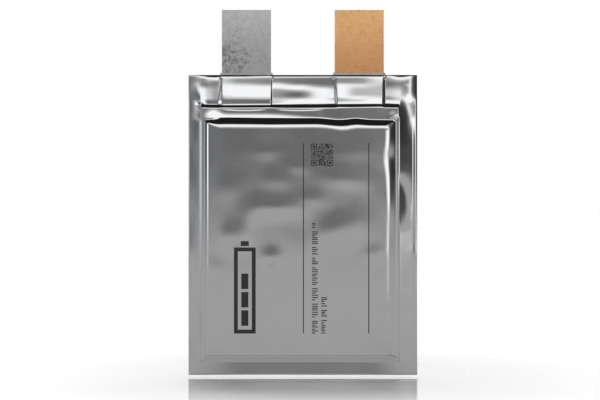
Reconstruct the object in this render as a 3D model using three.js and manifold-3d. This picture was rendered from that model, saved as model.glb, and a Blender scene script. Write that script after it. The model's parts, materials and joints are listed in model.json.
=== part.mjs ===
// A lithium pouch cell. Two deep-drawn laminate shells are heat-sealed face to face around a stack
// of electrodes, and an aluminium and a copper tab leave through the seal along the top.
//
// Frame, in millimetres: X runs across the cell, +Z up it towards the tabs, and the front faces -Y.
// The origin is at the middle of the bottom edge, on the plane where the two shells meet.
//
// Every piece is drawn flat, as it would lie on a bench: X across, Y up the cell and Z towards the
// front. One group then stands the whole cell upright.

import * as THREE from "three";
import { mergeVertices } from "three/addons/utils/BufferGeometryUtils.js";
import Module from "manifold-3d";

// ---------- Driving dimensions ----------

const POCKET_WIDTH = 70;
const POCKET_HEIGHT = 90;
const POCKET_DEPTH = 3.85; // of each shell, from the sealing plane to its outer face
const SEAL = { left: 4.6, right: 5.9, bottom: 4.9, top: 10.7 }; // flange widths around the pocket
const LAMINATE = 0.153; // nylon, aluminium and polypropylene, bonded into one film
const SLACK = 0.005; // between faces that touch

const TAB_WIDTH = 17.3;
const TAB_THICKNESS = 0.2;
const TAB_SPACING = 39.7; // between the two tabs' centre lines
const TAB_EXPOSED = 22.9; // above the pouch's top edge
const BEND_HEIGHT = 1.6; // of the line where a tab bends, above the pouch's top edge
const BEND_GAP = 0.3; // at that line, so that the blade can turn about the middle of the strip

const CATHODES = 20; // one more anode than cathodes, so that an anode ends the stack on each side
const CATHODE_THICKNESS = 0.17;
const ANODE_THICKNESS = 0.11;
const SEPARATOR_THICKNESS = 0.02;
const SIDE_TAPE = { bottom: 38, top: 58, reach: 10 }; // reach over the stack's front and back
const BOTTOM_TAPE = { width: 16, offset: 17, reach: 10 }; // offset from the stack's middle

// ---------- Sizes that follow ----------

const BODY_WIDTH = SEAL.left + POCKET_WIDTH + SEAL.right;
const BODY_HEIGHT = SEAL.bottom + POCKET_HEIGHT + SEAL.top;
const POCKET = {
  left: -BODY_WIDTH / 2 + SEAL.left,
  right: BODY_WIDTH / 2 - SEAL.right,
  bottom: SEAL.bottom,
  top: BODY_HEIGHT - SEAL.top,
};

// How far the edge of the flat face stands in from the pocket's root. The top wall is a long
// shoulder, because the film sinks there onto the foil tails between the stack and the seal.
const FACE_INSET = { left: 1.9, right: 4.2, bottom: 2.1, top: 6.9 };
const SHOULDER_INSET = { outer: 1.0, inner: 4.5 }; // of the shoulder's shelf, from the top root
const SHOULDER_HEIGHT = { outer: 1.6, inner: 1.95 };
const RIM_RADIUS = 0.5; // of the sheet's cut corners
const ROOT_RADIUS = 2.6;
const FACE_RADIUS = 1.8;
const BROW = 0.4; // the rounded edge between a wall and the face
const CORNER_STEPS = 3; // in each corner's arc

const FILM_THICKNESS = 0.09; // polypropylene sealant film, one on each side of each tab
const FILM_WIDTH = TAB_WIDTH + 1.2;
const FILM_PROUD = 0.8; // what shows above the pouch's top edge
const FILM_BOTTOM = POCKET.top - 0.6;
const FILM_FACE = TAB_THICKNESS / 2 + SLACK;
const CHANNEL_HEIGHT = FILM_FACE + FILM_THICKNESS + SLACK; // half the tunnel that a tab runs in

// The stack, centred between the inner faces of the pocket's two side walls.
const WALL_SKIN = 0.12; // how far a wall's inner surface stands in from its outer surface
const STACK_SLACK = { side: 0.7, end: 0.55 }; // room for the wrap, the tapes and the round corners
const FACE = {
  left: POCKET.left + FACE_INSET.left,
  right: POCKET.right - FACE_INSET.right,
  bottom: POCKET.bottom + FACE_INSET.bottom,
  top: POCKET.top - FACE_INSET.top,
};
const STACK_CENTRE = (FACE.left + FACE.right) / 2;
const SEPARATOR = {
  halfWidth: (FACE.right - FACE.left) / 2 - WALL_SKIN - STACK_SLACK.side,
  bottom: FACE.bottom + WALL_SKIN + STACK_SLACK.end,
  top: FACE.top - WALL_SKIN - STACK_SLACK.end,
};
const FOLD_STEPS = 4; // in each of the separator's half-round folds
const WRAP_SHORT = 4; // where the wrap's loose end stops, short of the stack's edge
const ANODE_MARGIN = 0.75; // how far the separator stands past an anode
const CATHODE_MARGIN = 1.5; // and past a cathode
const LAYER_GAP = SEPARATOR_THICKNESS + 2 * SLACK;
const ELECTRODES = 2 * CATHODES + 1;
const STACK_THICKNESS =
  CATHODES * CATHODE_THICKNESS + (CATHODES + 1) * ANODE_THICKNESS + (ELECTRODES + 1) * LAYER_GAP;

// The foil tails gather behind each tab's inner end, where they are welded to it.
const TAIL_WIDTH = 16;
const TAIL_OVERLAP = 0.5; // of a tail with its own electrode's plate
const ALUMINIUM_FOIL = { thickness: 0.012, pitch: 0.018 };
const COPPER_FOIL = { thickness: 0.008, pitch: 0.014 };
const TAIL_START = SEPARATOR.top + 0.2;
const TAIL_GATHERED = SEPARATOR.top + 2.9;
const TAB_BOTTOM = TAIL_GATHERED + 0.2;
const WELD_HEIGHT = 3.0;
const TAPE_THICKNESS = 0.05;

// ---------- Colours ----------

function finish(color, roughness, metalness) {
  return new THREE.MeshStandardMaterial({ color, roughness, metalness });
}

const POUCH_FOIL = finish(0xc9cccf, 0.15, 1);
const ALUMINIUM = finish(0xb4b4b4, 0.5, 1);
const COPPER = finish(0xd29c66, 0.45, 1);
const SEALANT = finish(0xd8d2c4, 0.5, 0);
const CATHODE_COATING = finish(0x1d1d20, 0.9, 0);
const LITHIUM = finish(0xa9a7a1, 0.6, 1);
const SEPARATOR_FILM = finish(0xf2f2ee, 0.6, 0);
const WELD_TAPE = finish(0xb86a1c, 0.3, 0);
const STACK_TAPE = finish(0x2f7d54, 0.4, 0);

// ---------- Solids: joining, cutting and drawing ----------

const wasm = await Module();
wasm.setup();

function solidOf(geometry) {
  const bare = geometry.clone();
  bare.deleteAttribute("normal");
  bare.deleteAttribute("uv");
  const merged = mergeVertices(bare, 1e-5);
  const vertProperties = new Float32Array(merged.attributes.position.array);
  const triVerts = new Uint32Array(merged.index.array);
  return new wasm.Manifold(new wasm.Mesh({ numProp: 3, vertProperties, triVerts }));
}

function geometryOf(solid) {
  const { vertProperties, triVerts } = solid.getMesh();
  const geometry = new THREE.BufferGeometry();
  geometry.setAttribute("position", new THREE.BufferAttribute(vertProperties, 3));
  geometry.setIndex(new THREE.BufferAttribute(triVerts, 1));
  return geometry;
}

// A box between two corners, each [x, y, z].
function block(low, high) {
  const size = high.map((value, axis) => value - low[axis]);
  const centre = high.map((value, axis) => (value + low[axis]) / 2);
  return new THREE.BoxGeometry(...size).translate(...centre);
}

function roundedRectangle({ left, right, bottom, top }, radius) {
  const shape = new THREE.Shape();
  shape.absarc(right - radius, bottom + radius, radius, -Math.PI / 2, 0);
  shape.absarc(right - radius, top - radius, radius, 0, Math.PI / 2);
  shape.absarc(left + radius, top - radius, radius, Math.PI / 2, Math.PI);
  shape.absarc(left + radius, bottom + radius, radius, Math.PI, 1.5 * Math.PI);
  return shape;
}

// The skin through a list of rings, each at its own height, closed by a cap on the first and last.
function loft(rings) {
  const count = rings[0].points.length;
  const cap = THREE.ShapeUtils.triangulateShape(rings[0].points, []);
  const positions = rings.flatMap(({ points, height }) => points.flatMap((p) => [p.x, p.y, height]));
  const index = cap.flat();
  for (let ring = 0; ring + 1 < rings.length; ring++) {
    for (let i = 0; i < count; i++) {
      const here = ring * count + i;
      const next = ring * count + ((i + 1) % count);
      index.push(here + count, next + count, next, here + count, next, here);
    }
  }
  const last = (rings.length - 1) * count;
  for (const [a, b, c] of THREE.ShapeUtils.triangulateShape(rings.at(-1).points, [])) {
    index.push(last + c, last + b, last + a);
  }
  const geometry = new THREE.BufferGeometry();
  geometry.setAttribute("position", new THREE.Float32BufferAttribute(positions, 3));
  geometry.setIndex(index);
  return geometry;
}

// A strip that keeps one cross-section right across the cell, drawn by its outline in the plane
// of Z and Y, such as a foil tail. Its middle is at x = centre.
function acrossCell(outline, width, centre) {
  const shape = new THREE.Shape(outline.map(([z, y]) => new THREE.Vector2(-z, y)));
  const geometry = new THREE.ExtrudeGeometry(shape, { depth: width, bevelEnabled: false });
  return geometry.rotateY(Math.PI / 2).translate(centre - width / 2, 0, 0);
}

// A strip that keeps one cross-section right up the cell, drawn by its outline in the plane of
// X and Z, such as the separator.
function upCell(outline, bottom, top) {
  const shape = new THREE.Shape(outline.map(([x, z]) => new THREE.Vector2(x, -z)));
  const geometry = new THREE.ExtrudeGeometry(shape, { depth: top - bottom, bevelEnabled: false });
  return geometry.rotateX(-Math.PI / 2).translate(0, bottom, 0);
}

// ---------- The pouch ----------

function insetRing(inset, radius, height, skin = 0) {
  const edges = {
    left: POCKET.left + inset.left + skin,
    right: POCKET.right - inset.right - skin,
    bottom: POCKET.bottom + inset.bottom + skin,
    top: POCKET.top - inset.top - skin,
  };
  return { points: roundedRectangle(edges, radius).getPoints(CORNER_STEPS), height };
}

function scaledInset(share, top, extra = 0) {
  return {
    left: FACE_INSET.left * share + extra,
    right: FACE_INSET.right * share + extra,
    bottom: FACE_INSET.bottom * share + extra,
    top: top + extra,
  };
}

// The pocket's wall, from its root on the flange to the flat face. With a skin it is the inner
// surface of the same wall, one laminate further in.
function pocketWall(rootHeight, skin) {
  const drop = skin > 0 ? LAMINATE : 0;
  const brow = POCKET_DEPTH - BROW / 2;
  return [
    insetRing(scaledInset(0, 0), ROOT_RADIUS, rootHeight, skin),
    insetRing(scaledInset(0.25, SHOULDER_INSET.outer), ROOT_RADIUS, SHOULDER_HEIGHT.outer - drop, skin),
    insetRing(scaledInset(0.5, SHOULDER_INSET.inner), FACE_RADIUS, SHOULDER_HEIGHT.inner - drop, skin),
    insetRing(scaledInset(1, FACE_INSET.top), FACE_RADIUS, brow - drop, skin),
    insetRing(scaledInset(1, FACE_INSET.top, BROW), FACE_RADIUS, POCKET_DEPTH - drop, skin),
  ];
}

function pouchShell() {
  const sheet = { left: -BODY_WIDTH / 2, right: BODY_WIDTH / 2, bottom: 0, top: BODY_HEIGHT };
  const rim = roundedRectangle(sheet, RIM_RADIUS).getPoints(CORNER_STEPS);
  const rings = [
    ...pocketWall(SLACK + LAMINATE, 0).reverse(),
    { points: rim, height: SLACK + LAMINATE },
    { points: rim, height: SLACK },
    ...pocketWall(SLACK, WALL_SKIN),
  ];
  let shell = solidOf(loft(rings));
  for (const side of [-1, 1]) {
    shell = shell.add(solidOf(tabTunnel(side, LAMINATE, BODY_HEIGHT, POCKET.top - 0.15, LAMINATE / 2)));
  }
  for (const side of [-1, 1]) {
    shell = shell.subtract(solidOf(tabTunnel(side, 0, BODY_HEIGHT + 1, FILM_BOTTOM - 1, -1)));
  }
  return geometryOf(shell);
}

// The long box that a tab and its films run in through the seal, grown by one film of laminate
// where it is the raised cover, and not grown where it is the tunnel itself.
function tabTunnel(side, cover, top, bottom, floor) {
  const centre = (side * TAB_SPACING) / 2;
  const half = FILM_WIDTH / 2 + 2 * SLACK + cover;
  return block([centre - half, bottom, floor], [centre + half, top, CHANNEL_HEIGHT + cover]);
}

// ---------- Tabs and their films ----------

function tabRoot(side) {
  const centre = (side * TAB_SPACING) / 2;
  const top = BODY_HEIGHT + BEND_HEIGHT - BEND_GAP / 2;
  return block(
    [centre - TAB_WIDTH / 2, TAB_BOTTOM, -TAB_THICKNESS / 2],
    [centre + TAB_WIDTH / 2, top, TAB_THICKNESS / 2],
  );
}

function tabBlade(side) {
  const centre = (side * TAB_SPACING) / 2;
  const bottom = BODY_HEIGHT + BEND_HEIGHT + BEND_GAP / 2;
  return block(
    [centre - TAB_WIDTH / 2, bottom, -TAB_THICKNESS / 2],
    [centre + TAB_WIDTH / 2, BODY_HEIGHT + TAB_EXPOSED, TAB_THICKNESS / 2],
  );
}

function sealantFilm(side) {
  const centre = (side * TAB_SPACING) / 2;
  return block(
    [centre - FILM_WIDTH / 2, FILM_BOTTOM, FILM_FACE],
    [centre + FILM_WIDTH / 2, BODY_HEIGHT + FILM_PROUD, FILM_FACE + FILM_THICKNESS],
  );
}

// Insulating tape over a weld: on the bare tab in front, and on the gathered tails behind.
function weldTape(side, face) {
  const centre = (side * TAB_SPACING) / 2;
  return block(
    [centre - TAB_WIDTH / 2, TAB_BOTTOM, face],
    [centre + TAB_WIDTH / 2, TAB_BOTTOM + WELD_HEIGHT + 0.4, face + TAPE_THICKNESS],
  );
}

// ---------- The electrode stack ----------

// Each electrode's place in the stack, from the front to the back.
const layers = [];
let surface = STACK_THICKNESS / 2;
for (let i = 0; i < ELECTRODES; i++) {
  const isAnode = i % 2 === 0;
  const thickness = isAnode ? ANODE_THICKNESS : CATHODE_THICKNESS;
  surface -= LAYER_GAP;
  layers.push({ isAnode, number: Math.floor(i / 2) + 1, front: surface, back: surface - thickness });
  surface -= thickness;
}

// How far behind the tab's middle one foil of the gathered bundle lies.
function bundlePlace(foil, number) {
  return -(TAB_THICKNESS / 2 + SLACK + (number - 0.5) * foil.pitch);
}

// A coated foil with its bare tail, which slants back to the weld on the tab.
function electrode({ isAnode, number, front, back }) {
  const margin = isAnode ? ANODE_MARGIN : CATHODE_MARGIN;
  const foil = isAnode ? COPPER_FOIL : ALUMINIUM_FOIL;
  const tabCentre = (isAnode ? TAB_SPACING : -TAB_SPACING) / 2;
  const halfWidth = SEPARATOR.halfWidth - margin;
  const top = SEPARATOR.top - margin;
  const plate = block(
    [STACK_CENTRE - halfWidth, SEPARATOR.bottom + margin, back],
    [STACK_CENTRE + halfWidth, top, front],
  );
  const middle = (front + back) / 2;
  const welded = bundlePlace(foil, number);
  const path = [
    [middle, top - TAIL_OVERLAP],
    [middle, TAIL_START],
    [welded, TAIL_GATHERED],
    [welded, TAB_BOTTOM + WELD_HEIGHT],
  ];
  const near = path.map(([z, y]) => [z + foil.thickness / 2, y]);
  const far = path.map(([z, y]) => [z - foil.thickness / 2, y]).reverse();
  const tail = acrossCell([...near, ...far], TAIL_WIDTH, tabCentre);
  return geometryOf(solidOf(plate).add(solidOf(tail)));
}

// The separator is one long ribbon. It goes to and fro between the electrodes, folds around the
// edge of each, and at the end wraps once around the whole stack.
function separatorPath() {
  const points = [];
  const heights = [STACK_THICKNESS / 2 - LAYER_GAP / 2];
  for (const layer of layers) {
    heights.push(layer.back - LAYER_GAP / 2);
  }
  const foldRadius = CATHODE_THICKNESS / 2 + LAYER_GAP / 2;
  const straight = SEPARATOR.halfWidth - foldRadius - SEPARATOR_THICKNESS / 2;
  let side = -1;
  points.push(new THREE.Vector2(side * straight, heights[0]));
  for (let i = 0; i + 1 < heights.length; i++) {
    side = -side;
    const radius = (heights[i] - heights[i + 1]) / 2;
    const middle = (heights[i] + heights[i + 1]) / 2;
    for (let step = 0; step <= FOLD_STEPS; step++) {
      const angle = Math.PI / 2 - (Math.PI * step) / FOLD_STEPS;
      const x = side * (straight + radius * Math.cos(angle));
      points.push(new THREE.Vector2(x, middle + radius * Math.sin(angle)));
    }
  }
  // The wrap starts behind the stack, comes forward round one side, and ends behind again.
  const wrapX = SEPARATOR.halfWidth + SEPARATOR_THICKNESS;
  const wrapZ = STACK_THICKNESS / 2 + SEPARATOR_THICKNESS / 2 + SLACK;
  side = -side;
  points.push(new THREE.Vector2(side * straight, heights.at(-1)));
  points.push(new THREE.Vector2(side * wrapX, heights.at(-1)));
  points.push(new THREE.Vector2(side * wrapX, wrapZ));
  points.push(new THREE.Vector2(-side * wrapX, wrapZ));
  points.push(new THREE.Vector2(-side * wrapX, -wrapZ));
  points.push(new THREE.Vector2(side * (wrapX - WRAP_SHORT), -wrapZ));
  return points;
}

// The outline of a strip of one thickness that follows a path, mitred at each corner.
function stripOutline(path, thickness) {
  const near = [];
  const far = [];
  path.forEach((point, i) => {
    const before = path[Math.max(i - 1, 0)];
    const after = path[Math.min(i + 1, path.length - 1)];
    const arriving = i > 0 ? point.clone().sub(before).normalize() : null;
    const leaving = i + 1 < path.length ? after.clone().sub(point).normalize() : null;
    const normals = [arriving, leaving].filter(Boolean).map((d) => new THREE.Vector2(-d.y, d.x));
    const middle = normals.reduce((sum, n) => sum.add(n), new THREE.Vector2()).normalize();
    const reach = thickness / 2 / middle.dot(normals[0]);
    near.push([point.x + middle.x * reach, point.y + middle.y * reach]);
    far.push([point.x - middle.x * reach, point.y - middle.y * reach]);
  });
  return [...near, ...far.reverse()];
}

function separator() {
  const outline = stripOutline(separatorPath(), SEPARATOR_THICKNESS);
  return upCell(outline, SEPARATOR.bottom, SEPARATOR.top).translate(STACK_CENTRE, 0, 0);
}

// A strip of tape folded over an edge of the stack, as a C with its open side at -u.
function tapeOutline(edge, reach) {
  const inner = STACK_THICKNESS / 2 + SEPARATOR_THICKNESS + 3 * SLACK;
  const outer = inner + TAPE_THICKNESS;
  return [
    [edge - reach, outer],
    [edge - reach, inner],
    [edge, inner],
    [edge, -inner],
    [edge - reach, -inner],
    [edge - reach, -outer],
    [edge + TAPE_THICKNESS, -outer],
    [edge + TAPE_THICKNESS, outer],
  ];
}

function sideTape(side) {
  const edge = SEPARATOR.halfWidth + SEPARATOR_THICKNESS * 1.5 + SLACK;
  const outline = tapeOutline(edge, SIDE_TAPE.reach).map(([x, z]) => [side * x + STACK_CENTRE, z]);
  return upCell(outline, SIDE_TAPE.bottom, SIDE_TAPE.top);
}

function bottomTape(side) {
  const edge = -(SEPARATOR.bottom - SLACK);
  const outline = tapeOutline(edge, BOTTOM_TAPE.reach).map(([depth, z]) => [z, -depth]);
  return acrossCell(outline, BOTTOM_TAPE.width, STACK_CENTRE + side * BOTTOM_TAPE.offset);
}

// ---------- Assembly ----------

const cell = new THREE.Group();
cell.rotation.x = Math.PI / 2; // from flat on the bench to upright, front towards -Y

function add(name, geometry, material) {
  const mesh = new THREE.Mesh(geometry, material);
  mesh.name = name;
  cell.add(mesh);
  return mesh;
}

// The same piece turned to face the back: Z becomes -Z.
function addBack(name, geometry, material) {
  add(name, geometry, material).scale.z = -1;
}

add("front_pouch_shell", pouchShell(), POUCH_FOIL);
addBack("back_pouch_shell", pouchShell(), POUCH_FOIL);

const terminals = [
  { name: "positive_tab", side: -1, metal: ALUMINIUM, foil: ALUMINIUM_FOIL, foils: CATHODES },
  { name: "negative_tab", side: 1, metal: COPPER, foil: COPPER_FOIL, foils: CATHODES + 1 },
];
for (const { name, side, metal, foil, foils } of terminals) {
  add(`${name}_root`, tabRoot(side), metal);
  add(`${name}_blade`, tabBlade(side), metal);
  add(`${name}_film_front`, sealantFilm(side), SEALANT);
  addBack(`${name}_film_back`, sealantFilm(side), SEALANT);
  const bundleBack = bundlePlace(foil, foils + 1);
  add(`${name}_weld_tape_front`, weldTape(side, FILM_FACE), WELD_TAPE);
  add(`${name}_weld_tape_back`, weldTape(side, bundleBack - TAPE_THICKNESS), WELD_TAPE);
}

for (const layer of layers) {
  const number = String(layer.number).padStart(2, "0");
  const name = layer.isAnode ? `anode_${number}` : `cathode_${number}`;
  add(name, electrode(layer), layer.isAnode ? LITHIUM : CATHODE_COATING);
}
add("separator", separator(), SEPARATOR_FILM);

add("left_stack_tape", sideTape(-1), STACK_TAPE);
add("right_stack_tape", sideTape(1), STACK_TAPE);
add("bottom_left_stack_tape", bottomTape(-1), STACK_TAPE);
add("bottom_right_stack_tape", bottomTape(1), STACK_TAPE);

export default cell;
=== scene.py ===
"""The looks of a lithium pouch cell: rippled foil pouch, printed face, bare metal tabs.

Lengths are in millimetres, times MM where Blender takes them, and in metres in the shaders. X runs
across the cell, Z up it, and the front faces -Y. A foil's shape is a height over the seal plane, where
the two shells meet.
"""

import json
import math
import random

import bpy
import numpy as np
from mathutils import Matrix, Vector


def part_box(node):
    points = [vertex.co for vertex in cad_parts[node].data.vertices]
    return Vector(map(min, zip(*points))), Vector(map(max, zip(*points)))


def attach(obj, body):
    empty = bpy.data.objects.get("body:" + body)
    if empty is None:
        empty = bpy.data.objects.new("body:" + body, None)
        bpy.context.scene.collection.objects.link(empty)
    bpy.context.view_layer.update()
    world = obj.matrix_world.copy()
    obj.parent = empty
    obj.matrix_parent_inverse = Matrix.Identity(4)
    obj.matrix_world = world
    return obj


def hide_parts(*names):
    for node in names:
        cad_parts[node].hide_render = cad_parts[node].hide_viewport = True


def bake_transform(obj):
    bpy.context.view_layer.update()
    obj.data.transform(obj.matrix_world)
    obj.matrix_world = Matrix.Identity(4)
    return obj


MM = 0.001  # in metres

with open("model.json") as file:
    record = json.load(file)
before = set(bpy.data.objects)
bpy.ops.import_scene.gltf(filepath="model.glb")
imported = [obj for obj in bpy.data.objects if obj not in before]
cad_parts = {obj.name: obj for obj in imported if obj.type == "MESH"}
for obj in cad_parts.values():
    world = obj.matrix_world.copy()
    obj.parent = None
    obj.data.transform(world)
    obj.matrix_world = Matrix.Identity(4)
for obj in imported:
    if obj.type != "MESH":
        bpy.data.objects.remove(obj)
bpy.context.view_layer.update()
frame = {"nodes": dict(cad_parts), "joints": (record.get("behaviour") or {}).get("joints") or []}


def box_mm(node):
    low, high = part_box(node)
    return [value / MM for value in low], [value / MM for value in high]


# ---------- Sizes from the frame, and the few that the foil adds ----------

SHELL_LOW, SHELL_HIGH = box_mm("front_pouch_shell")
LEFT, RIGHT, TOP = SHELL_LOW[0], SHELL_HIGH[0], SHELL_HIGH[2]
DEPTH = -SHELL_LOW[1]  # from the seal plane to the outside of the face
SEAL_GAP = -SHELL_HIGH[1]  # between the seal plane and a foil's inner surface at the seal
LAMINATE = 0.153  # the foil's thickness
RIM_THICKNESS = 0.05  # what its rounded outer edge thins to
RIM_REACH = 0.35  # how far in the foil has its full thickness
FILM_FACE = -box_mm("positive_tab_film_front")[0][1]
TABS = {"positive": box_mm("positive_tab_root"), "negative": box_mm("negative_tab_root")}

# Where the drawn pocket's wall leaves the flange on each side.
ROOT = {"left": LEFT + 4.3, "right": RIGHT - 6.3, "bottom": 4.7, "top": TOP - 10.4}
# The wall climbs in two steps with a ledge between them. Widths are measured inwards from the root.
# foot and brow are the shares of a step's width that its lower and upper ends are rounded over.
FIRST_STEP = {
    "width": {"left": 0.6, "right": 0.45, "bottom": 0.7, "top": 1.5},
    "foot": {"left": 0.3, "right": 0.3, "bottom": 0.4, "top": 0.15},
    "brow": {"left": 0.4, "right": 0.4, "bottom": 0.4, "top": 0.3},
}
LEDGE = {"left": 0.7, "right": 0.85, "bottom": 0.4, "top": 3.1}
SECOND_STEP = {
    "width": {"left": 2.0, "right": 4.3, "bottom": 1.4, "top": 4.6},
    "foot": {"left": 0.15, "right": 0.03, "bottom": 0.2, "top": 0.2},
    "brow": {"left": 0.75, "right": 0.78, "bottom": 0.6, "top": 0.7},
}
LEDGE_HEIGHT = 2.15
# How square each step's corners are at its upper end, and how much squarer at its lower end.
FIRST_SQUARENESS, SECOND_SQUARENESS = (7, 0), (2.2, 10)


# ---------- Small helpers ----------

def smooth(t):
    t = np.clip(t, 0, 1)
    return t * t * (3 - 2 * t)


def bell(x, centre, width):
    return np.exp(-(((x - centre) / width) ** 2))


def plateau(x, low, high, soft):
    """1 between low and high, falling to 0 over a distance of soft on each side."""
    return smooth((x - low) / soft + 0.5) * smooth((high - x) / soft + 0.5)


def mesh_piece(name, vertices, faces, material, shade_smooth=True):
    mesh = bpy.data.meshes.new(name)
    mesh.from_pydata([tuple(v) for v in np.asarray(vertices) * MM], [], faces)
    mesh.update()
    if shade_smooth:
        mesh.shade_smooth()
    mesh.materials.append(material)
    piece = bpy.data.objects.new(name, mesh)
    bpy.context.scene.collection.objects.link(piece)
    return piece


GRADING_STEPS, PROFILE_STEPS = 4000, 600  # how finely densities and slopes are added up


def graded(low, high, count, focuses):
    """count positions from low to high, closer together around each (centre, reach, boost)."""
    fine = np.linspace(low, high, GRADING_STEPS)
    density = 1 + sum(boost * bell(fine, centre, reach) for centre, reach, boost in focuses)
    total = np.concatenate([[0], np.cumsum((density[1:] + density[:-1]) / 2)])
    return np.interp(np.linspace(0, total[-1], count), total, fine)


def slab_mesh(front, back):
    """Vertices and faces of a closed sheet between two grids of points of the same shape."""
    rows, columns = front.shape[:2]
    count = rows * columns
    vertices = np.concatenate([front.reshape(-1, 3), back.reshape(-1, 3)])
    index = np.arange(count).reshape(rows, columns)
    near = np.stack([index[:-1, :-1], index[:-1, 1:], index[1:, 1:], index[1:, :-1]], -1).reshape(-1, 4)
    far = near[:, ::-1] + count
    rim = np.concatenate([index[0, :-1], index[:-1, -1], index[-1, :0:-1], index[:0:-1, 0]])
    after = np.roll(rim, -1)
    edge = np.stack([after, rim, rim + count, after + count], -1)
    return vertices, np.concatenate([near, far, edge]).tolist()


# ---------- Materials ----------

class Nodes:
    """A short way to add and join shader nodes in one tree."""

    def __init__(self, tree):
        self.tree = tree

    def add(self, kind, inputs=(), **settings):
        node = self.tree.nodes.new(kind)
        for key, value in settings.items():
            setattr(node, key, value)
        for key, value in dict(inputs).items():
            if isinstance(value, bpy.types.NodeSocket):
                self.tree.links.new(value, node.inputs[key])
            else:
                node.inputs[key].default_value = value
        return node

    def math(self, operation, a, b=0.0):
        return self.add("ShaderNodeMath", {0: a, 1: b}, operation=operation).outputs[0]

    def between(self, value, low, high, start=0.0, end=1.0):
        settings = {"Value": value, "From Min": low, "From Max": high, "To Min": start, "To Max": end}
        return self.add("ShaderNodeMapRange", settings, interpolation_type="SMOOTHSTEP").outputs[0]

    def mix(self, factor, a, b):
        node = self.add("ShaderNodeMix", data_type="RGBA")
        for socket, value in zip((node.inputs[0], node.inputs[6], node.inputs[7]), (factor, a, b)):
            if isinstance(value, bpy.types.NodeSocket):
                self.tree.links.new(value, socket)
            else:
                socket.default_value = value
        return node.outputs[2]

    def ramp(self, value, stops):
        """A colour ramp: stops are (position, colour)."""
        node = self.add("ShaderNodeValToRGB", {"Fac": value})
        ramp = node.color_ramp
        for position, _ in stops[1:-1]:
            ramp.elements.new(position)
        for element, (position, colour) in zip(ramp.elements, stops):
            element.position = position
            element.color = colour
        return node.outputs["Color"]

    def noise(self, scale, stretch=(1, 1, 1), detail=2.0, roughness=0.5, distortion=0.0):
        """Noise in the piece's own space; scale is in features per metre."""
        place = self.add("ShaderNodeTexCoord").outputs["Object"]
        mapping = self.add("ShaderNodeMapping", {"Vector": place, "Scale": stretch})
        settings = {"Vector": mapping.outputs[0], "Scale": scale, "Detail": detail}
        settings.update({"Roughness": roughness, "Distortion": distortion})
        return self.add("ShaderNodeTexNoise", settings).outputs["Fac"]

    def place(self, axis):
        """The point's place along X, Y or Z, in metres."""
        point = self.add("ShaderNodeTexCoord").outputs["Object"]
        return self.add("ShaderNodeSeparateXYZ", {0: point}).outputs[axis]


def grey(value):
    return (value, value, value, 1)


FINE_RELIEF = 0.00001  # bump heights, in metres
FOIL_RELIEF = 0.0000025
TAB_SPAN = (0.106, 0.1285)  # the bare part of a tab from bottom to top, in metres


def new_material(name, colour, roughness, metallic=0.0):
    """A material with one principled shader, and the helper that adds nodes to it."""
    material = bpy.data.materials.new(name)
    material.use_nodes = True
    material.diffuse_color = colour
    shader = material.node_tree.nodes["Principled BSDF"]
    shader.inputs["Base Color"].default_value = colour
    shader.inputs["Roughness"].default_value = roughness
    shader.inputs["Metallic"].default_value = metallic
    return material, Nodes(material.node_tree), shader


def connect(nodes, output, shader, name):
    nodes.tree.links.new(output, shader.inputs[name])


def add_bump(nodes, shader, height, distance=FINE_RELIEF):
    bump = nodes.add("ShaderNodeBump", {"Height": height, "Distance": distance, "Strength": 1.0})
    connect(nodes, bump.outputs["Normal"], shader, "Normal")


def foil_material():
    material, nodes, shader = new_material("pouch_foil", (0.86, 0.865, 0.875, 1), 0.07, 1.0)
    cloud = nodes.noise(90, detail=3.0)
    connect(nodes, nodes.between(cloud, 0.3, 0.75, 0.045, 0.11), shader, "Roughness")
    tint = nodes.mix(nodes.between(cloud, 0.35, 0.7), (0.84, 0.845, 0.855, 1), (0.88, 0.885, 0.895, 1))
    connect(nodes, tint, shader, "Base Color")
    add_bump(nodes, shader, nodes.noise(900), FOIL_RELIEF)
    return material


def aluminium_tab_material():
    material, nodes, shader = new_material("rolled_aluminium", (0.6, 0.6, 0.6, 1), 0.5, 0.35)
    smudge = nodes.noise(520, detail=7.0, roughness=0.78, distortion=0.6)
    speckle = nodes.noise(3200, detail=3.0, roughness=0.7)
    patches = nodes.noise(95)
    # Painted light: the tab is painted lighter towards its top and darker towards its bottom, where the
    # light falls on it.
    up_the_tab = nodes.between(nodes.place("Z"), *TAB_SPAN)
    painted_light_ramp = nodes.ramp(up_the_tab, [(0, grey(0.44)), (0.55, grey(0.52)), (1, grey(0.64))])
    pits = nodes.math("MULTIPLY", nodes.between(smudge, 0.44, 0.6), nodes.between(speckle, 0.36, 0.54))
    grouped = nodes.math("MULTIPLY", pits, nodes.between(patches, 0.36, 0.58, 0.35, 1.0))
    # The marks are strongest low down and towards the left.
    low_down = nodes.between(nodes.place("Z"), 0.113, 0.126, 1.0, 0.35)
    leftwards = nodes.between(nodes.place("X"), -0.0255, -0.016, 1.0, 0.45)
    marks = nodes.math("MULTIPLY", grouped, nodes.math("MULTIPLY", low_down, leftwards))
    marked = nodes.mix(marks, painted_light_ramp, grey(0.06))
    shade = nodes.mix(nodes.between(speckle, 0.3, 0.75, 0, 0.22), marked, grey(0.3))
    connect(nodes, shade, shader, "Base Color")
    connect(nodes, nodes.between(speckle, 0.2, 0.8, 0.42, 0.6), shader, "Roughness")
    add_bump(nodes, shader, speckle)
    return material


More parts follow.
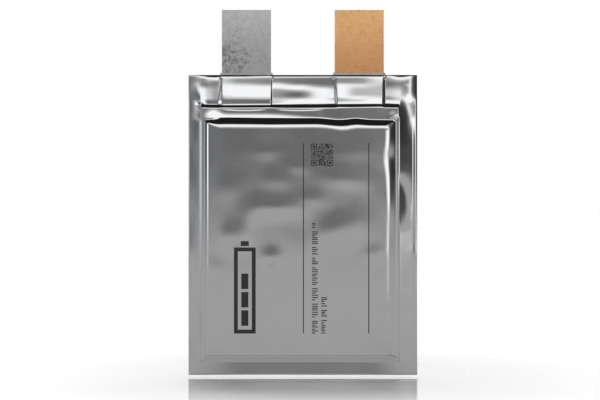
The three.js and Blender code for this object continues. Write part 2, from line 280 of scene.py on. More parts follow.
def copper_tab_material():
    material, nodes, shader = new_material("rolled_copper", (0.9, 0.5, 0.24, 1), 0.45, 0.35)
    grain = nodes.noise(1300, stretch=(0.35, 1, 1.3), detail=4.0, roughness=0.6)
    mottle = nodes.noise(420, detail=7.0, roughness=0.78, distortion=0.5)
    # Painted light: the tab is painted lighter towards its top and darker towards its bottom, where the
    # light falls on it.
    bottom, top = (0.73, 0.355, 0.147, 1), (1.0, 0.56, 0.245, 1)
    painted_light_ramp = nodes.ramp(nodes.between(nodes.place("Z"), *TAB_SPAN), [(0, bottom), (1, top)])
    grained = nodes.mix(nodes.between(grain, 0.35, 0.7, 0, 0.22), painted_light_ramp, (0.6, 0.3, 0.11, 1))
    shade = nodes.mix(nodes.between(mottle, 0.5, 0.7, 0, 0.45), grained, (0.36, 0.17, 0.07, 1))
    connect(nodes, shade, shader, "Base Color")
    connect(nodes, nodes.between(grain, 0.2, 0.8, 0.38, 0.55), shader, "Roughness")
    add_bump(nodes, shader, grain)
    return material


def plain_material(name, colour, roughness, metallic=0.0, scale=600, contrast=0.12):
    """A colour with fine mottling, for the ink, the films and what lies inside the pouch."""
    material, nodes, shader = new_material(name, colour, roughness, metallic)
    mottle = nodes.noise(scale, detail=3.0)
    dark = tuple(value * (1 - contrast) for value in colour[:3]) + (1,)
    connect(nodes, nodes.mix(nodes.between(mottle, 0.3, 0.7), dark, colour), shader, "Base Color")
    connect(nodes, nodes.between(mottle, 0.3, 0.7, roughness * 0.85, roughness), shader, "Roughness")
    add_bump(nodes, shader, mottle)
    return material


FOIL = foil_material()
ALUMINIUM = aluminium_tab_material()
COPPER = copper_tab_material()
SEALANT = plain_material("sealant_film", (0.40, 0.39, 0.37, 1), 0.4)
INK = plain_material("printed_ink", (0.03, 0.03, 0.03, 1), 0.55, scale=2500, contrast=0.3)
INSIDE = {
    "cathode": plain_material("cathode_coating", (0.012, 0.012, 0.014, 1), 0.85, scale=4000),
    "anode": plain_material("lithium", (0.42, 0.41, 0.39, 1), 0.5, metallic=1.0, contrast=0.25),
    "separator": plain_material("separator", (0.86, 0.86, 0.84, 1), 0.6),
    "weld_tape": plain_material("polyimide_tape", (0.5, 0.19, 0.02, 1), 0.25, scale=200),
    "stack_tape": plain_material("polyester_tape", (0.03, 0.2, 0.09, 1), 0.3, scale=200),
    "film": SEALANT,
}


# ---------- The pouch's shape ----------

def climb(t, foot, brow):
    """From 0 to 1 as t does, at an even slope between two rounded ends."""
    t = np.clip(t, 0, 1)
    start = t * t / (2 * foot)
    left = (1 - t) / brow
    end = 1 - brow - foot / 2 + brow / 3 * (1 - left ** 3)
    whole = 1 - foot / 2 - brow * 2 / 3
    return np.where(t < foot, start, np.where(left < 1, end, t - foot / 2)) / whole


def profile(distance, slopes):
    """The height gained over a distance, given the slope at a few distances along the way."""
    places, values = zip(*slopes)
    fine = np.linspace(places[0], places[-1], PROFILE_STEPS)
    slope = np.interp(fine, places, values)
    gained = np.concatenate([[0], np.cumsum((slope[1:] + slope[:-1]) / 2 * np.diff(fine))])
    return np.interp(distance, fine, gained)


def step_up(inset, step, squareness, x, z, wander, foot_swell=0.0):
    """0 outside the pocket and 1 inside: one step of its wall, inset from the root.

    wander gives, by side, how far the step's lower and upper ends stray inwards from straight lines,
    and foot_swell is added to foot along the top.
    """
    from_root = {
        "left": x - ROOT["left"],
        "right": ROOT["right"] - x,
        "bottom": z - ROOT["bottom"],
        "top": ROOT["top"] - z,
    }
    shortfalls = []
    for side, distance in from_root.items():
        lower, upper = wander.get(side, (0, 0))
        low = inset[side] + lower
        high = inset[side] + step["width"][side] + upper
        gap = (distance - low) / (high - low)
        foot = step["foot"][side] + (foot_swell if side == "top" else 0)
        shortfalls.append(np.clip(1 - climb(gap, foot, step["brow"][side]), 0, 1))
    # Where two sides meet, their shortfalls join as powers: the higher the power, the squarer the corner.
    rough = sum(short ** 4 for short in shortfalls) ** 0.25
    power = squareness[0] + squareness[1] * np.clip(rough, 0, 1) ** 2
    missing = sum(short ** (power / 3) for short in shortfalls) ** (3 / power)
    return 1 - np.clip(missing, 0, 1)


def pocket(x, z):
    """How far up the first and the second step of the wall a point is, from 0 to 1."""
    first_wander = {"top": (0, 0.12 * np.cos((x + 26) / 5.2) + 0.1 * np.cos((x + 3) / 9))}
    first = step_up(dict.fromkeys(ROOT, 0), FIRST_STEP, FIRST_SQUARENESS, x, z, first_wander)
    inset = {side: FIRST_STEP["width"][side] + LEDGE[side] for side in ROOT}
    to_right = smooth((x - 4) / 8)
    top_left = smooth((-28.5 - x) / 6)
    foot_line = 0.75 * to_right - 0.5 * bell(x, 18.5, 3.0) + 0.1 * np.cos((x + 8) / 7) + 1.1 * top_left
    brow_line = 0.1 * to_right + 1.0 * bell(x, 14.3, 3.7) - 2.6 * top_left
    brow_line_right = 1.1 * bell(z, 75.7, 4) - 0.5 * bell(z, 60, 9)
    second_wander = {"top": (foot_line, brow_line), "right": (0, brow_line_right)}
    foot_swell = 0.1 * bell(x, -31, 2.6) - 0.1 * to_right
    return first, step_up(inset, SECOND_STEP, SECOND_SQUARENESS, x, z, second_wander, foot_swell)


# Above the pocket the foil rises off the seal plane. How steeply is given along lines down from the
# top edge: (x of the line, [(distance from the edge, slope), ...]).
TERRACE = [
    (-37.5, [(0, 0.1), (2.0, 0.06), (3.0, 0.14), (5.5, 0.14), (7.0, 0.05), (10.4, 0.03)]),
    (-35.2, [(0, 0.35), (0.7, 0.2), (1.2, 0.04), (3.5, 0.02), (5.0, 0.12), (9.6, 0.14), (10.4, 0.2)]),
    (-33.0, [(0, 0.45), (0.7, 0.35), (1.1, 0.15), (1.6, 0.08), (3.4, 0.02), (5.0, 0.075), (8.4, 0.09),
             (9.6, 0.03), (10.4, 0.12)]),
    (-30.3, [(0, 0.5), (0.7, 0.4), (1.2, 0.15), (1.8, 0.1), (2.4, 0.02), (3.6, 0.02),
             (5.0, 0.05), (7.5, 0.05), (8.6, 0.05), (9.8, 0.045), (10.4, 0.12)]),
    (-28.3, [(0, 0.6), (0.5, 0.45), (0.75, 0.15), (1.2, 0.08), (2.5, 0.08), (4.0, 0.12), (7.0, 0.12),
             (8.6, 0.06), (9.7, 0.045), (10.1, 0.1), (10.4, 0.3)]),
    (-22.0, [(0, 0.6), (0.5, 0.45), (0.75, 0.15), (1.2, 0.06), (2.2, 0.03), (3.2, 0.08), (4.5, 0.13),
             (7.2, 0.13), (8.8, 0.055), (9.5, 0.03), (10.0, 0.1), (10.4, 0.3)]),
    (-11.6, [(0, 0.9), (0.3, 0.8), (0.45, 0.2), (0.8, 0.1), (1.3, 0.03), (2.6, 0.02), (3.4, 0.06),
             (4.6, 0.13), (7.4, 0.13), (8.8, 0.06), (9.5, 0.04), (10.0, 0.12), (10.4, 0.3)]),
    (-10.3, [(0, 0.6), (0.5, 0.42), (0.75, 0.14), (1.0, 0.03), (2.2, 0.02), (3.2, 0.11), (4.2, 0.13),
             (5.4, 0.05), (7.6, 0.04), (8.6, 0.1), (9.8, 0.15), (10.4, 0.3)]),
    (-2.0, [(0, 0.6), (0.5, 0.42), (0.75, 0.14), (1.0, 0.02), (2.8, 0.01), (3.8, 0.1), (4.6, 0.14),
            (5.6, 0.06), (6.6, 0.0), (7.4, 0.0), (8.4, 0.08), (9.4, 0.15), (10.4, 0.28)]),
    (7.0, [(0, 0.6), (0.5, 0.42), (0.7, 0.14), (1.0, 0.01), (3.0, 0.0), (4.0, 0.05), (5.2, 0.13),
           (7.5, 0.13), (8.6, 0.11), (9.6, 0.05), (10.1, 0.1), (10.4, 0.28)]),
    (11.0, [(0, 0.6), (0.5, 0.42), (0.7, 0.14), (1.0, 0.01), (3.2, 0.0), (4.2, 0.05), (5.4, 0.11),
            (7.8, 0.11), (8.8, 0.03), (9.6, 0.0), (10.1, 0.1), (10.4, 0.28)]),
    (12.6, [(0, 0.6), (0.5, 0.42), (0.75, 0.14), (1.0, 0.04), (2.4, 0.03), (3.6, 0.12), (5.0, 0.14),
            (7.4, 0.14), (8.2, 0.1), (8.9, 0.01), (10.0, 0.0), (10.3, 0.12), (10.5, 0.3)]),
    (19.0, [(0, 0.6), (0.5, 0.42), (0.75, 0.14), (1.0, 0.04), (2.6, 0.04), (3.6, 0.11), (5.2, 0.07),
            (7.0, 0.07), (8.2, 0.14), (8.9, 0.03), (9.3, 0.0), (10.1, 0.0), (10.3, 0.12), (10.5, 0.3)]),
    (27.6, [(0, 0.7), (0.4, 0.5), (0.7, 0.2), (1.0, 0.12), (1.6, 0.1), (3.0, 0.09), (4.5, 0.07),
            (7.0, 0.07), (8.0, 0.1), (9.0, 0.12), (9.8, 0.06), (10.2, 0.12), (10.5, 0.3)]),
    (29.2, [(0, 0.2), (0.5, 0.1), (1.0, 0.04), (2.0, 0.03), (3.0, 0.0), (4.0, 0.02), (5.2, 0.075),
            (7.2, 0.085), (8.2, 0.03), (9.4, 0.0), (10.1, 0.08), (10.4, 0.25)]),
    (34.5, [(0, 0.5), (0.6, 0.35), (1.2, 0.15), (2.0, 0.06), (3.2, 0.02), (4.4, 0.06), (6.0, 0.11),
            (8.0, 0.11), (9.2, 0.03), (9.8, 0.02), (10.4, 0.2)]),
]
# The form of its rise inwards from the cell's left and right edges, as (distance, slope). Only the
# proportions of each list count. How high it gets is set by TERRACE above the pocket, and elsewhere by
# the lifts.
TERRACE_LEFT_SLOPES = [(0, 0.02), (1.0, 0.06), (3.0, 0.1), (4.3, 0.1)]
TERRACE_RIGHT_SLOPES = [(0, 0.5), (0.5, 0.3), (1.5, 0.3), (3.2, 0.28), (4.6, 0.12), (6.3, 0.02)]
LEFT_SLOPES = [(0, 0.02), (1.0, 0.06), (2.8, 0.12), (4.3, 0.3)]
UPPER_RIGHT_SLOPES = [(0, 0.6), (0.35, 0.5), (0.6, 0.08), (1.5, 0.14), (2.4, 0.2), (3.2, 0.28),
                      (4.8, 0.55), (6.3, 0.62)]
LOWER_RIGHT_SLOPES = [(0, 0.6), (0.35, 0.5), (0.6, -0.06), (1.4, -0.06), (1.8, 0.38), (6.3, 0.5)]
LEFT_LIFT, LOWER_RIGHT_LIFT, UPPER_RIGHT_LIFT = 0.4, 0.3, LEDGE_HEIGHT


def share(distance, slopes):
    """The share of the whole rise that is reached at a distance."""
    return profile(distance, slopes) / profile(slopes[-1][0], slopes)


def terrace(x, z):
    """How far the foil stands off the seal plane above the pocket, blended between TERRACE's lines."""
    total = np.zeros_like(x)
    places = [place for place, _ in TERRACE]
    for index, (place, slopes) in enumerate(TERRACE):
        weight = np.ones_like(x)
        if index > 0:
            weight *= smooth((x - places[index - 1]) / (place - places[index - 1]))
        if index < len(TERRACE) - 1:
            weight *= 1 - smooth((x - place) / (places[index + 1] - place))
        total += weight * profile(TOP - z, slopes)
    return total


def film_lift(x, z):
    """How far the foil stands off the seal plane above the pocket and beside it."""
    upper = share(RIGHT - x, UPPER_RIGHT_SLOPES)
    lower = share(RIGHT - x, LOWER_RIGHT_SLOPES)
    right = lower + (upper - lower) * smooth((z - 80) / 12)
    left = share(x - LEFT, LEFT_SLOPES)
    to_right = smooth((x + 10) / 20)
    right_lift = LOWER_RIGHT_LIFT + (UPPER_RIGHT_LIFT - LOWER_RIGHT_LIFT) * smooth((z - 50) / 22)
    lift = LEFT_LIFT * smooth((z - 8) / 30) * (1 - to_right) + to_right * right_lift
    terrace_left = share(x - LEFT, TERRACE_LEFT_SLOPES)
    terrace_right = share(RIGHT - x, TERRACE_RIGHT_SLOPES)
    top_right = right + (terrace_right - right) * smooth((z - ROOT["top"] + 1) / 9)
    above = smooth((z - ROOT["top"] + 6) / 8)
    return terrace(x, z) * top_right * terrace_left * above + lift * right * left * (1 - above)


# Soft swellings and dents: (x, z, reach across, reach up, height, tilt in degrees). The front's are
# listed one by one, and the back's are made up.
FACE_RIPPLES = [
    (-23.6, 48.7, 4.2, 4.0, 0.24, 15),
    (-9.8, 59.0, 8.5, 3.3, 0.15, 0),
    (-9.5, 68.7, 6.5, 3.0, 0.05, 0),
    (-18.8, 55.8, 6.5, 3.4, 0.11, 60),
    (-11.2, 41.4, 3.2, 3.0, 0.13, 0),
    (12.5, 51.0, 7.0, 4.4, 0.20, 24),
    (3.5, 62.2, 4.6, 2.6, 0.06, -10),
    (15.5, 68.8, 7.5, 3.0, 0.08, -6),
    (17.0, 79.0, 9.0, 3.2, 0.06, 0),
    (-12.5, 79.0, 5.0, 3.0, 0.06, 0),
    (-2.0, 73.5, 4.5, 2.8, 0.06, 0),
    (25.0, 42.4, 3.4, 3.0, 0.08, 25),
    (-27.0, 65.0, 5.0, 4.6, 0.07, 0),
    (-30.5, 37.0, 4.0, 3.0, 0.05, -40),
]
FLANGE_RIPPLES = [
    (-35.3, 94.8, 1.4, 0.9, 0.3, -30),
    (-36.6, 92.5, 1.0, 2.0, 0.12, 0),
    (40.0, 42.5, 2.2, 2.6, 0.06, 0),
]
LEDGE_RIPPLES = [
    (-31.3, 90.9, 2.6, 1.8, 0.3, 0),
    (31.5, 91.2, 1.6, 1.2, 0.1, 30),
]
BACK_RIPPLES = [
    (20, 44, 7.0, 5.0, 0.14, -30),
    (4, 58, 8.0, 5.0, 0.12, 20),
    (-14, 48, 5.0, 6.0, 0.14, 0),
    (-22, 70, 8.0, 5.0, 0.08, 15),
    (16, 74, 6.0, 6.0, -0.08, 0),
]


def ripples(x, z, bumps):
    total = np.zeros_like(x)
    for cx, cz, reach_x, reach_z, height, tilt in bumps:
        turn = math.radians(tilt)
        along = (x - cx) * math.cos(turn) + (z - cz) * math.sin(turn)
        across = (z - cz) * math.cos(turn) - (x - cx) * math.sin(turn)
        total += height * np.exp(-((along / reach_x) ** 2) - (across / reach_z) ** 2)
    return total


WAVE_LENGTHS = (11, 15, 19)
WAVE_HEIGHT = 0.004  # of the shortest; the others are higher in proportion


def waves(x, z, seed):
    """A gentle seeded waviness: a few long waves that run in different directions."""
    chance = random.Random(seed)
    total = np.zeros_like(x)
    for length in WAVE_LENGTHS:
        angle = chance.uniform(0, math.pi)
        phase = chance.uniform(0, 2 * math.pi)
        run = (x * math.cos(angle) + z * math.sin(angle)) * 2 * math.pi / length
        total += WAVE_HEIGHT * length / WAVE_LENGTHS[0] * np.sin(run + phase)
    return total


TAB_CREASES = {"positive": (1.6, 0.5), "negative": (2.1, 0.7)}  # each tab's left and right fold widths
CREASE_FAN = 1.5  # how much wider the left folds get just above the pocket
CREASE_ROOM = 0.05  # between the foil and a sealant film


def tab_swell(x, z):
    """How far the foil stands off the seal plane over a tab and its sealant films."""
    wider = 0.15 + 0.6 * smooth((z - TOP + 1.8) / 1.2)
    fan = CREASE_FAN * smooth((ROOT["top"] + 4 - z) / 3)
    over_tabs = 0
    for name, (low, high) in TABS.items():
        left_soft, right_soft = TAB_CREASES[name]
        left_fold = smooth((x - low[0] + wider) / (left_soft + fan) + 0.5)
        over_tabs = over_tabs + left_fold * smooth((high[0] + wider - x) / right_soft + 0.5)
    return over_tabs * (FILM_FACE + SEAL_GAP + CREASE_ROOM) * smooth((z - 70) / 10)


LEDGE_FOLDS = ((-20.5, 8.6), (-1.0, 9.2))  # (middle, half width) of each
LEDGE_FOLD_HEIGHT = 0.055
LEDGE_DROP = 0.25  # how much lower the ledge above the face is along its top than at the face
LEDGE_RISE = 2.3  # the distance over which it rises


def ledge_folds(x, z):
    """The slope of the ledge above the face, and two shallow folds that bow down along its top."""
    folds = 0
    for middle, half in LEDGE_FOLDS:
        across = np.clip(1 - ((x - middle) / half) ** 2, 0, 1)
        line = ROOT["top"] - 1.2 - 0.75 * np.sqrt(across)
        folds = folds + LEDGE_FOLD_HEIGHT * smooth((line - z) / 0.5) * smooth(across * 1.6)
    rise_start = 2.7 + 1.5 * smooth((x + 14) / 24)
    still_low = np.clip((rise_start + LEDGE_RISE + z - ROOT["top"]) / LEDGE_RISE, 0, 1)
    low_part = smooth((x + 36.5) / 5) * (1 - 0.8 * smooth((x - 6) / 8))
    return folds - LEDGE_DROP * low_part * (1 - (1 - still_low) ** 2)


FACE_ROOM = 0.02  # how far inside the CAD face the flat face lies
MOST_SWELLING, MOST_DENT = 0.22, 0.11  # what the swellings and dents of a face level off at
LEFT_ROLL = {"height": 0.21, "start": 2.4, "reach": 1.9}  # how the face sinks towards its left edge


def inner_height(x, z, bumps, seed):
    """The height of a foil's inner surface over the seal plane."""
    first, second = pocket(x, z)
    outside = (film_lift(x, z) + ripples(x, z, FLANGE_RIPPLES) + tab_swell(x, z)) * (1 - first)
    ledge = LEDGE_HEIGHT + (ripples(x, z, LEDGE_RIPPLES) + ledge_folds(x, z)) * (1 - second)
    body = ledge * first + (DEPTH - LAMINATE - SEAL_GAP - LEDGE_HEIGHT - FACE_ROOM) * second
    past_edge = (x - ROOT["left"] - LEFT_ROLL["start"]).clip(0)
    roll = -LEFT_ROLL["height"] * np.exp(-past_edge / LEFT_ROLL["reach"]) * second
    soft = ripples(x, z, bumps) + waves(x, z, seed)
    limit = np.where(soft > 0, MOST_SWELLING, MOST_DENT)
    return SEAL_GAP + body + outside + limit * np.tanh(soft / limit) * second + roll


def rim_fade(x, z):
    """0 on the sheet's outer edge and 1 a little way in."""
    gap = np.minimum(np.minimum(x - LEFT, RIGHT - x), np.minimum(z, TOP - z))
    return np.sqrt(np.clip(gap / RIM_REACH, 0, 1))


def outer_height(x, z, bumps, seed):
    """The height of its outer surface over the seal plane."""
    thickness = RIM_THICKNESS + (LAMINATE - RIM_THICKNESS) * rim_fade(x, z)
    return inner_height(x, z, bumps, seed) + thickness


FLANGE_LEAN = {"left": 0.12, "top_right": 0.6, "bottom": 0.26}  # the left one wavers about this


def flange_bend(x, z):
    """How far the flange, both foils together, leans back towards +Y."""
    waver = 1 + 0.6 * np.sin(z / 9.0) + 0.4 * np.sin(z / 4.1 + 1)
    left = FLANGE_LEAN["left"] * smooth((LEFT + 3.6 - x) / 3.6) * waver
    top_right = FLANGE_LEAN["top_right"] * np.clip((x - RIGHT + 3) / 3, 0, 1) ** 2 * smooth((z - 94) / 7)
    below = FLANGE_LEAN["bottom"] * np.clip(1 - z / ROOT["bottom"], 0, 1) * plateau(x, -25, 25, 28)
    return left + top_right + below


GRID = (214, 225)  # a foil's columns and rows, which keep each foil under 200,000 triangles


def sheet_lines():
    """Where a foil's columns and rows lie: closer together at its walls, folds and edges."""
    walls_x = [(ROOT["left"] + 1.2, 2.0, 6), (ROOT["right"] - 1.8, 3.2, 4)]
    edges_x = [(LEFT, 0.5, 6), (RIGHT, 0.5, 6), (RIGHT - 1.6, 0.6, 6)]
    lows, highs = [low[0] for low, _ in TABS.values()], [high[0] for _, high in TABS.values()]
    creases = [(edge, 0.9, 6) for edge in lows + highs]
    walls_z = [(ROOT["bottom"] + 1.3, 2.0, 5), (ROOT["top"] - 3.6, 4.6, 3.2)]
    edges_z = [(0, 0.5, 6), (TOP, 0.8, 6), (TOP - 5, 3.5, 1.5)]
    columns = graded(LEFT, RIGHT, GRID[0], walls_x + edges_x + creases)
    return columns, graded(0, TOP, GRID[1], walls_z + edges_z)


FRONT_SEED, BACK_SEED = 3, 8


def foil(name, node, facing, bumps, seed):
    """One shell of the pouch. facing is -1 for the front foil and 1 for the back one."""
    columns, rows = sheet_lines()
    x, z = np.meshgrid(columns, rows)
    bend = flange_bend(x, z)
    outer = facing * outer_height(x, z, bumps, seed) + bend
    inner = facing * inner_height(x, z, bumps, seed) + bend
    near, far = (outer, inner) if facing < 0 else (inner, outer)
    vertices, faces = slab_mesh(np.stack([x, near, z], -1), np.stack([x, far, z], -1))
    piece = mesh_piece(name, vertices, faces, FOIL)
    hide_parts(node)
    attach(piece, "cell")


foil("front_foil", "front_pouch_shell", -1, FACE_RIPPLES, FRONT_SEED)
foil("back_foil", "back_pouch_shell", 1, BACK_RIPPLES, BACK_SEED)


# ---------- Tabs ----------

TAB_GRID = (30, 130)  # a strip's columns and rows
TAB_ROUNDING = 0.08  # how far in from its edges a strip has its full thickness
TAB_EDGE = 0.7  # its thickness on the very edge, as a share of the whole


def tab(name, material):
    """One metal strip from the weld inside the pouch to the tip, with its rows closer together at its
    joint.

    Its body in the frame has the same name.
    """
    low, _ = box_mm(f"{name}_root")
    _, high = box_mm(f"{name}_blade")
    hinge = next(joint for joint in frame["joints"] if joint["child"] == name)
    bend = hinge["pos_m"][2] / MM
    columns = graded(low[0], high[0], TAB_GRID[0], [(low[0], 0.2, 12), (high[0], 0.2, 12)])
    rows = graded(low[2], high[2], TAB_GRID[1], [(bend, 1.2, 10), (high[2], 0.2, 12)])
    x, z = np.meshgrid(columns, rows)
    gap = np.minimum(np.minimum(x - low[0], high[0] - x), high[2] - z)
    fade = np.sqrt(np.clip(gap / TAB_ROUNDING, 0, 1))
    half = (high[1] - low[1]) / 2 * (TAB_EDGE + (1 - TAB_EDGE) * fade)
    vertices, faces = slab_mesh(np.stack([x, -half, z], -1), np.stack([x, half, z], -1))
    piece = mesh_piece(name, vertices, faces, material)
    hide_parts(f"{name}_root", f"{name}_blade")
    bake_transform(piece)


tab("positive_tab", ALUMINIUM)
tab("negative_tab", COPPER)


# ---------- What lies inside the pouch ----------

for node_name, node in frame["nodes"].items():
    for key, material in INSIDE.items():
        if key in node_name:
            node.data.materials.clear()
            node.data.materials.append(material)


# ---------- Print on the face ----------

INK_PROUD = 0.012  # how far the ink's front stands off the foil
INK_SUNK = 0.04  # how far its back lies inside the foil
INK_STEP = 0.8  # the longest stretch of foil that one of its faces spans


def ink(name, rectangles):
    """One printed feature: thin patches of ink that follow the foil. Each is (x0, x1, z0, z1)."""
    vertices, faces = [], []
    for x0, x1, z0, z1 in rectangles:
        columns = np.linspace(x0, x1, max(2, math.ceil((x1 - x0) / INK_STEP) + 1))
        rows = np.linspace(z0, z1, max(2, math.ceil((z1 - z0) / INK_STEP) + 1))
        x, z = np.meshgrid(columns, rows)
        height = outer_height(x, z, FACE_RIPPLES, FRONT_SEED)
        front = np.stack([x, -height - INK_PROUD, z], -1)
        back = np.stack([x, -height + INK_SUNK, z], -1)
        points, quads = slab_mesh(front, back)
        faces += [[index + len(vertices) for index in quad] for quad in quads]
        vertices += points.tolist()
    piece = mesh_piece(name, vertices, faces, INK, shade_smooth=False)
    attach(piece, "cell")


RULES = {"x": (0.2, 23.05), "low": 15.0, "high": 81.5, "width": 0.34}
CODE = {"x": 2.8, "top": 81.3, "size": 7.8, "modules": 25, "seed": 5}
LONG_ROW = {"x0": 3.2, "x1": 5.25, "low": 14.9, "high": 53.6, "seed": 11}
SHORT_ROW = {"x0": 6.4, "x1": 8.5, "low": 14.9, "high": 28.6, "seed": 12}
MARK = 7  # modules across a corner mark
MODULE_HEIGHT = 0.97  # of its pitch, so that rows of modules don't touch
STROKE = {"width": 0.36, "pitches": (0.62, 0.7, 0.8), "reaches": (1.0, 1.0, 0.7, 0.55), "gap": 0.8}
GROUP = (4, 9)  # the fewest and the most strokes in a group
SIGN = {"low": (-24.1, 14.9), "high": (-16.5, 47.2), "stroke": 1.35, "room_for": 4, "bar_gap": 1.0}
TERMINAL = {"height": 2.2, "half_width": 1.4, "gap": 0.5}


def code_rectangles():
    """A square of small seeded modules with three corner marks. It encodes nothing."""
    count = CODE["modules"]
    chance = random.Random(CODE["seed"])
    dark = [[chance.random() < 0.5 for _ in range(count)] for _ in range(count)]
    far = count - MARK
    for row0, column0 in ((0, 0), (far, 0), (far, far)):
        for row in range(-1, MARK + 1):
            for column in range(-1, MARK + 1):
                r, c = row0 + row, column0 + column
                if 0 <= r < count and 0 <= c < count:
                    ring = max(abs(row - MARK // 2), abs(column - MARK // 2))
                    dark[r][c] = ring == MARK // 2 or ring <= 1
    size = CODE["size"] / count
    found = []
    for r, line in enumerate(dark):
        start = None
        for c, on in enumerate(line + [False]):
            if on and start is None:
                start = c
            if not on and start is not None:
                top = CODE["top"] - r * size
                left, right = CODE["x"] + start * size, CODE["x"] + c * size
                found.append((left, right, top - size * MODULE_HEIGHT, top))
                start = None
    return found


def stroke_rectangles(x0, x1, low, high, seed):
    """A row of short strokes across a strip, in groups, where a line of small type would be."""
    chance = random.Random(seed)
    found = []
    z = low
    still_in_group = chance.randint(*GROUP)
    while z < high:
        reach = chance.choice(STROKE["reaches"]) * (x1 - x0)
        found.append((x0, x0 + reach, z, z + STROKE["width"]))
        z += chance.choice(STROKE["pitches"])
        still_in_group -= 1
        if still_in_group == 0:
            z += STROKE["gap"]
            still_in_group = chance.randint(*GROUP)
    return found


def sign_rectangles():
    """A plain sign of a battery: an outline, a terminal on top, and level bars, with none at the top."""
    (x0, z0), (x1, z1) = SIGN["low"], SIGN["high"]
    stroke = SIGN["stroke"]
    body_top = z1 - TERMINAL["height"]
    middle, half = (x0 + x1) / 2, TERMINAL["half_width"]
    outline = [
        (x0, x0 + stroke, z0, body_top),
        (x1 - stroke, x1, z0, body_top),
        (x0 + stroke, x1 - stroke, z0, z0 + stroke),
        (x0 + stroke, x1 - stroke, body_top - stroke, body_top),
        (middle - half, middle + half, body_top + TERMINAL["gap"], z1),
    ]
    room_low, room_high = z0 + 2 * stroke, body_top - 2 * stroke
    gap = SIGN["bar_gap"]
    pitch = (room_high - room_low + gap) / SIGN["room_for"]
    sides = (x0 + 1.9 * stroke, x1 - 1.9 * stroke)
    bars = []
    for level in range(SIGN["room_for"] - 1):
        bars.append((*sides, room_low + level * pitch, room_low + (level + 1) * pitch - gap))
    return outline + bars


def rule_rectangles():
    half = RULES["width"] / 2
    return [(x - half, x + half, RULES["low"], RULES["high"]) for x in RULES["x"]]


ink("print_rules", rule_rectangles())
ink("print_code", code_rectangles())
ink("print_long_row", stroke_rectangles(**LONG_ROW))
ink("print_short_row", stroke_rectangles(**SHORT_ROW))
ink("print_battery_sign", sign_rectangles())


# ---------- Stage: floor, light and camera ----------

FLOOR_HALF = 3000
FLOOR_DROP = 0.7  # how far below the cell it lies
SHEEN_CENTRE = 12  # x of the middle of what it mirrors
SHEEN_REACH = (130, 40)  # how far from there the mirroring starts and is full


def floor():
    """A pale floor that mirrors the cell faintly, and more at a low angle."""
    half, z = FLOOR_HALF, -FLOOR_DROP
    corners = [(-half, -half, z), (half, -half, z), (half, half, z), (-half, half, z)]
    material = bpy.data.materials.new("white_floor")
    material.use_nodes = True
    nodes = Nodes(material.node_tree)
    material.node_tree.nodes.clear()
    diffuse = nodes.add("ShaderNodeBsdfDiffuse", {"Color": grey(0.85)})
    gloss = nodes.add("ShaderNodeBsdfGlossy", {"Color": grey(0.95), "Roughness": 0.0})
    facing = nodes.add("ShaderNodeLayerWeight", {"Blend": 0.5}).outputs["Facing"]
    place = nodes.add("ShaderNodeTexCoord").outputs["Object"]
    shift = {"Vector": place, "Location": (-SHEEN_CENTRE * MM, 0, 0)}
    from_centre = nodes.add("ShaderNodeMapping", shift).outputs[0]
    distance = nodes.add("ShaderNodeVectorMath", {0: from_centre}, operation="LENGTH").outputs["Value"]
    near = nodes.between(distance, SHEEN_REACH[0] * MM, SHEEN_REACH[1] * MM)
    sheen = nodes.math("MULTIPLY", nodes.between(facing, 0.65, 0.97, 0.05, 0.85), near)
    shader = nodes.add("ShaderNodeMixShader", {0: sheen, 1: diffuse.outputs[0], 2: gloss.outputs[0]})
    nodes.add("ShaderNodeOutputMaterial", {"Surface": shader.outputs[0]})
    mesh = bpy.data.meshes.new("floor")
    mesh.from_pydata([tuple(value * MM for value in corner) for corner in corners], [], [(0, 1, 2, 3)])
    mesh.materials.append(material)
    piece = bpy.data.objects.new("floor", mesh)
    bpy.context.scene.collection.objects.link(piece)
    piece.visible_glossy = False


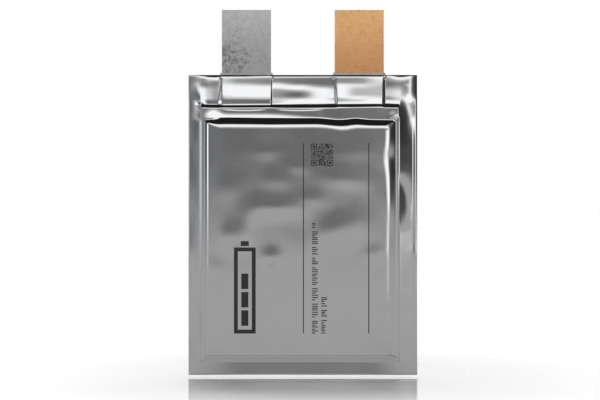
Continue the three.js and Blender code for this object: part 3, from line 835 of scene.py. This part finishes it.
def studio():
    """A white room to the camera, and soft cards under a dark ceiling in the foil's reflections."""
    world = bpy.data.worlds.new("studio")
    bpy.context.scene.world = world
    world.use_nodes = True
    tree = world.node_tree
    tree.nodes.clear()
    nodes = Nodes(tree)
    direction = nodes.add("ShaderNodeTexCoord").outputs["Generated"]
    parts = nodes.add("ShaderNodeSeparateXYZ", {0: direction}).outputs
    across, along, up = parts["X"], parts["Y"], parts["Z"]
    level = nodes.math("SQRT", nodes.math("SUBTRACT", 1.0, nodes.math("MULTIPLY", up, up)))
    sideways = nodes.math("DIVIDE", across, nodes.math("MAXIMUM", level, 0.001))
    halves = {0: sideways, 1: 0.5, 2: 0.5}
    place = nodes.add("ShaderNodeMath", halves, operation="MULTIPLY_ADD").outputs[0]
    # Both go from left to right: walls just over the horizon, and high_walls above them.
    walls = nodes.ramp(place, [
        (0.00, (0.10, 0.104, 0.11, 1)),
        (0.05, (0.11, 0.114, 0.12, 1)),
        (0.09, (1.4, 1.43, 1.47, 1)),
        (0.21, (1.4, 1.43, 1.47, 1)),
        (0.27, (0.33, 0.35, 0.38, 1)),
        (0.33, (0.13, 0.136, 0.15, 1)),
        (0.38, (0.14, 0.144, 0.154, 1)),
        (0.435, (0.165, 0.168, 0.174, 1)),
        (0.475, (0.150, 0.150, 0.151, 1)),
        (0.50, grey(0.155)),
        (0.535, grey(0.2)),
        (0.60, grey(1.1)),
        (0.71, grey(1.1)),
        (0.77, grey(0.22)),
        (0.84, grey(0.06)),
        (0.92, grey(0.03)),
        (1.00, grey(0.03)),
    ])
    high_walls = nodes.ramp(place, [
        (0.00, (0.10, 0.104, 0.11, 1)),
        (0.10, (0.11, 0.114, 0.12, 1)),
        (0.16, (0.5, 0.51, 0.53, 1)),
        (0.22, (0.17, 0.175, 0.185, 1)),
        (0.38, (0.15, 0.155, 0.165, 1)),
        (0.48, grey(0.15)),
        (0.55, grey(0.25)),
        (0.61, grey(1.05)),
        (0.70, grey(1.0)),
        (0.77, grey(0.2)),
        (0.84, grey(0.05)),
        (1.00, grey(0.03)),
    ])
    in_middle = nodes.math(
        "MULTIPLY", nodes.between(sideways, -0.5, -0.25), nodes.between(sideways, 0.46, 0.22)
    )
    softbox = nodes.ramp(up, [
        (0.08, grey(0.16)),
        (0.18, grey(0.42)),
        (0.30, grey(1.08)),
        (0.50, grey(1.0)),
        (0.60, grey(0.3)),
        (0.68, grey(0.012)),
    ])
    upper = nodes.mix(in_middle, high_walls, softbox)
    room = nodes.mix(nodes.between(up, 0.055, 0.105), walls, upper)
    over_ground = nodes.mix(nodes.between(up, 0.58, 0.70), room, (0.012, 0.012, 0.013, 1))
    depth = nodes.add("ShaderNodeMapRange", {"Value": up, "From Min": -1.0, "From Max": 0.0}).outputs[0]
    bare_ground = nodes.ramp(depth, [
        (0.00, grey(0.34)),
        (0.40, grey(0.34)),
        (0.62, grey(0.36)),
        (0.76, grey(0.22)),
        (0.84, grey(0.2)),
        (0.91, grey(0.385)),
        (1.00, grey(0.385)),
    ])
    # The ground has a dark band at the right, and the horizon is a little lower right of the middle.
    just_below = nodes.math("MULTIPLY", nodes.between(up, -0.1, -0.14), nodes.between(up, -0.25, -0.21))
    dark_right = nodes.math("MULTIPLY", nodes.between(sideways, 0.2, 0.45), just_below)
    ground = nodes.mix(dark_right, bare_ground, grey(0.06))
    near_right = nodes.math(
        "MULTIPLY", nodes.between(sideways, 0.19, 0.27), nodes.between(sideways, 0.5, 0.4)
    )
    over_horizon = nodes.math("ADD", up, nodes.math("MULTIPLY", near_right, 0.022))
    seen = nodes.mix(nodes.between(over_horizon, -0.045, 0.032), ground, over_ground)

    # What diffuse rays meet: an even room, brighter high up behind the cell.
    high_behind = nodes.math("MULTIPLY", nodes.between(along, -0.02, 0.08), nodes.between(up, 0.78, 0.88))
    lit = nodes.mix(high_behind, grey(0.74), grey(4.2))

    # The floor's mirror rays meet an even pale grey, and the camera's own rays white.
    path = nodes.add("ShaderNodeLightPath").outputs
    by_bounce = nodes.mix(path["Is Diffuse Ray"], seen, lit)
    by_mirror = nodes.mix(path["Is Singular Ray"], by_bounce, grey(0.95))
    colour = nodes.mix(path["Is Camera Ray"], by_mirror, grey(1.0))
    background = nodes.add("ShaderNodeBackground", {"Color": colour, "Strength": 1.0})
    nodes.add("ShaderNodeOutputWorld", {"Surface": background.outputs[0]})


VIEW_WIDTH = 211.2  # what the picture spans across, at the cell
CAMERA_DISTANCE = 587.0
CAMERA_CENTRE = (-1.0, 61.6)  # x and z
SENSOR_WIDTH = 36


def camera():
    data = bpy.data.cameras.new("camera")
    data.sensor_width = SENSOR_WIDTH
    data.lens = SENSOR_WIDTH * CAMERA_DISTANCE / VIEW_WIDTH
    data.clip_start = 0.01
    piece = bpy.data.objects.new("camera", data)
    piece.location = (CAMERA_CENTRE[0] * MM, -CAMERA_DISTANCE * MM, CAMERA_CENTRE[1] * MM)
    piece.rotation_euler = (math.pi / 2, 0, 0)
    bpy.context.scene.collection.objects.link(piece)
    bpy.context.scene.camera = piece


floor()
studio()
camera()
bpy.context.scene.view_settings.view_transform = "Standard"
